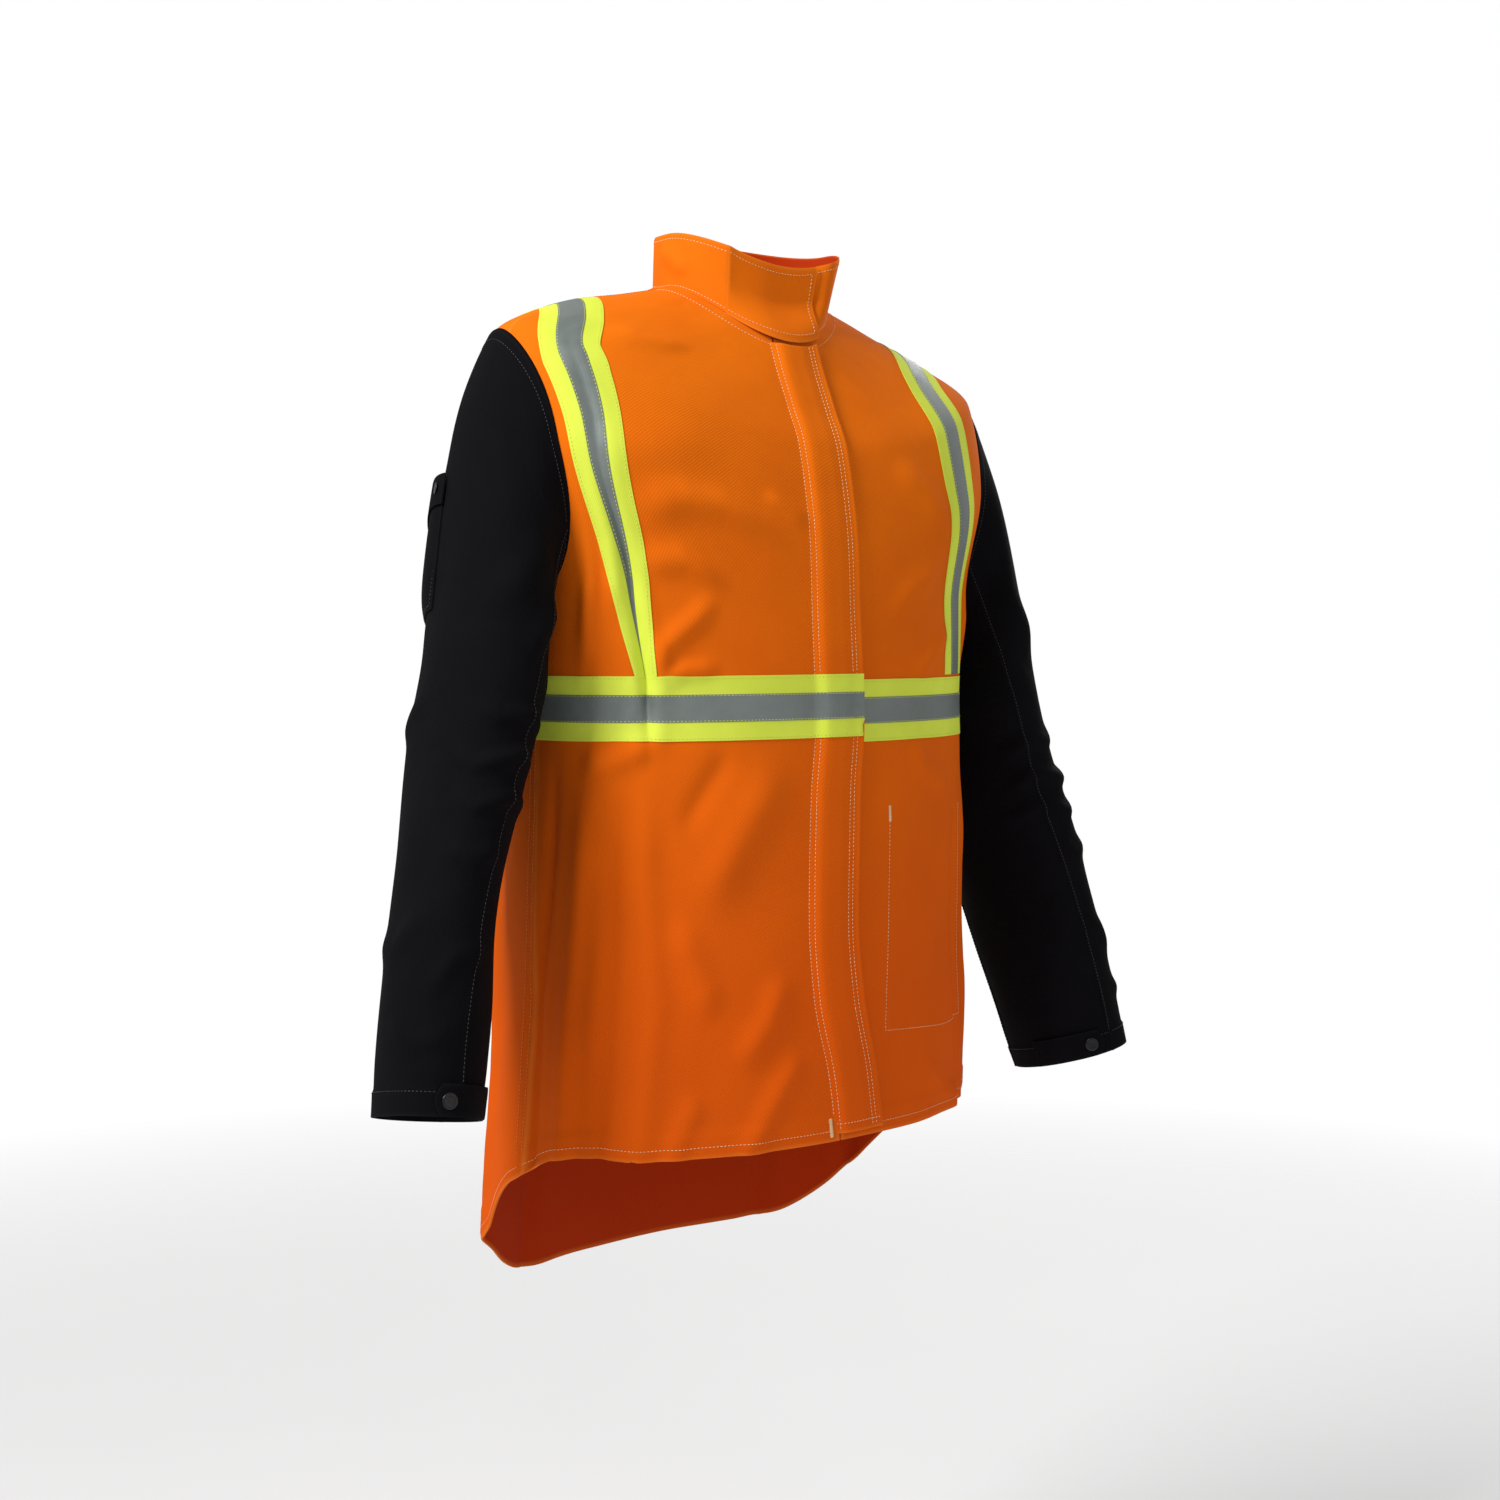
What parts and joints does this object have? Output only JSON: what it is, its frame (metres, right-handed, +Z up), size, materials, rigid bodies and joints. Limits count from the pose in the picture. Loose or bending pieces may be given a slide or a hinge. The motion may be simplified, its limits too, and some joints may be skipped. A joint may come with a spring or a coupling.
{
  "type": "welding jacket",
  "caption": "Welder's jacket with a cotton body, split-leather sleeves, storm flap, stand-up collar, reflective tapes and a drop tail, hanging in its worn shape.",
  "frame": {"origin": "centre of the neck opening, at the height where the collar seam crosses the shoulder line", "axes": "+Z up, -Y towards the front of the jacket, +X towards the wearer's left"},
  "size_m": [0.8145, 0.3086, 0.9502],
  "materials": {
    "cotton": "flame-resistant cotton twill, orange",
    "split_leather": "black split cowhide, suede face",
    "backing_tape": "fluorescent lime backing tape",
    "reflective_stripe": "silver glass-bead reflective stripe",
    "snap_black": "black enamelled press snap",
    "hook_and_loop": "orange hook-and-loop fastener",
    "label": "plain woven label, blank",
    "thread": "cream sewing thread"
  },
  "bodies": {
    "root": {"back_panel": "cotton", "front_panel_right": "cotton", "front_panel_left": "cotton", "front_facing_right": "cotton", "front_facing_left": "cotton", "flap_snap_studs": "snap_black", "collar_band": "cotton", "collar_loop_patch": "hook_and_loop", "collar_parking_patch": "hook_and_loop", "neck_label": "label", "waist_tape_right": "backing_tape", "waist_tape_left": "backing_tape", "waist_tape_back": "backing_tape", "waist_stripe_right": "reflective_stripe", "waist_stripe_left": "reflective_stripe", "waist_stripe_back": "reflective_stripe", "shoulder_tape_right": "backing_tape", "shoulder_tape_left": "backing_tape", "shoulder_stripe_right": "reflective_stripe", "shoulder_stripe_left": "reflective_stripe", "inside_pocket": "cotton", "bartacks": "thread"},
    "storm_flap": {"storm_flap": "cotton", "storm_flap_facing": "cotton", "flap_snap_sockets": "snap_black", "waist_tape_flap": "backing_tape", "waist_stripe_flap": "reflective_stripe"},
    "collar_tab": {"collar_tab": "cotton", "collar_hook_patch": "hook_and_loop"},
    "hang_loop": {"hang_loop": "cotton"},
    "sleeve_right": {"upper_sleeve_right": "split_leather", "under_sleeve_right": "split_leather", "cuff_facing_right": "split_leather", "cuff_snap_stud_right": "snap_black", "pen_pocket": "split_leather"},
    "sleeve_left": {"upper_sleeve_left": "split_leather", "under_sleeve_left": "split_leather", "cuff_facing_left": "split_leather", "cuff_snap_stud_left": "snap_black"},
    "cuff_tab_right": {"cuff_tab_right": "split_leather", "cuff_snap_cap_right": "snap_black"},
    "cuff_tab_left": {"cuff_tab_left": "split_leather", "cuff_snap_cap_left": "snap_black"},
    "pen_pocket_flap": {"pen_pocket_flap": "split_leather", "pen_pocket_snap_cap": "snap_black"}
  },
  "joints": [
    {"name": "storm_flap_fold", "type": "hinge", "parent": "root", "child": "storm_flap", "pos_m": [-0.036, -0.1325, -0.399], "axis": [0, -0.0604, -0.9982], "range_deg": [0, 60]},
    {"name": "collar_tab_fold", "type": "hinge", "parent": "root", "child": "collar_tab", "pos_m": [-0.05536, -0.05503, 0.00504], "axis": [-0.0221, 0.0198, -0.9996], "range_deg": [0, 100]},
    {"name": "hang_loop_swing", "type": "hinge", "parent": "root", "child": "hang_loop", "pos_m": [0, 0.0623, 0.02], "axis": [-1, 0, 0], "range_deg": [0, 150]},
    {"name": "sleeve_right_raise", "type": "hinge", "parent": "root", "child": "sleeve_right", "pos_m": [-0.25425, 0.002, -0.047], "axis": [0, 1, 0], "range_deg": [0, 50]},
    {"name": "sleeve_left_raise", "type": "hinge", "parent": "root", "child": "sleeve_left", "pos_m": [0.25103, 0.002, -0.067], "axis": [0, -1, 0], "range_deg": [0, 50]},
    {"name": "cuff_tab_right_fold", "type": "hinge", "parent": "sleeve_right", "child": "cuff_tab_right", "pos_m": [-0.33095, -0.10422, -0.66908], "axis": [0.197, 0.1626, 0.9668], "range_deg": [0, 100]},
    {"name": "cuff_tab_left_fold", "type": "hinge", "parent": "sleeve_left", "child": "cuff_tab_left", "pos_m": [0.31562, -0.0684, -0.71911], "axis": [0.2069, -0.2112, -0.9553], "range_deg": [0, 100]},
    {"name": "pen_pocket_flap_fold", "type": "hinge", "parent": "sleeve_right", "child": "pen_pocket_flap", "pos_m": [-0.29156, 0.04861, -0.18666], "axis": [0.3957, 0.7049, -0.5886], "range_deg": [0, 80]}
  ]
}
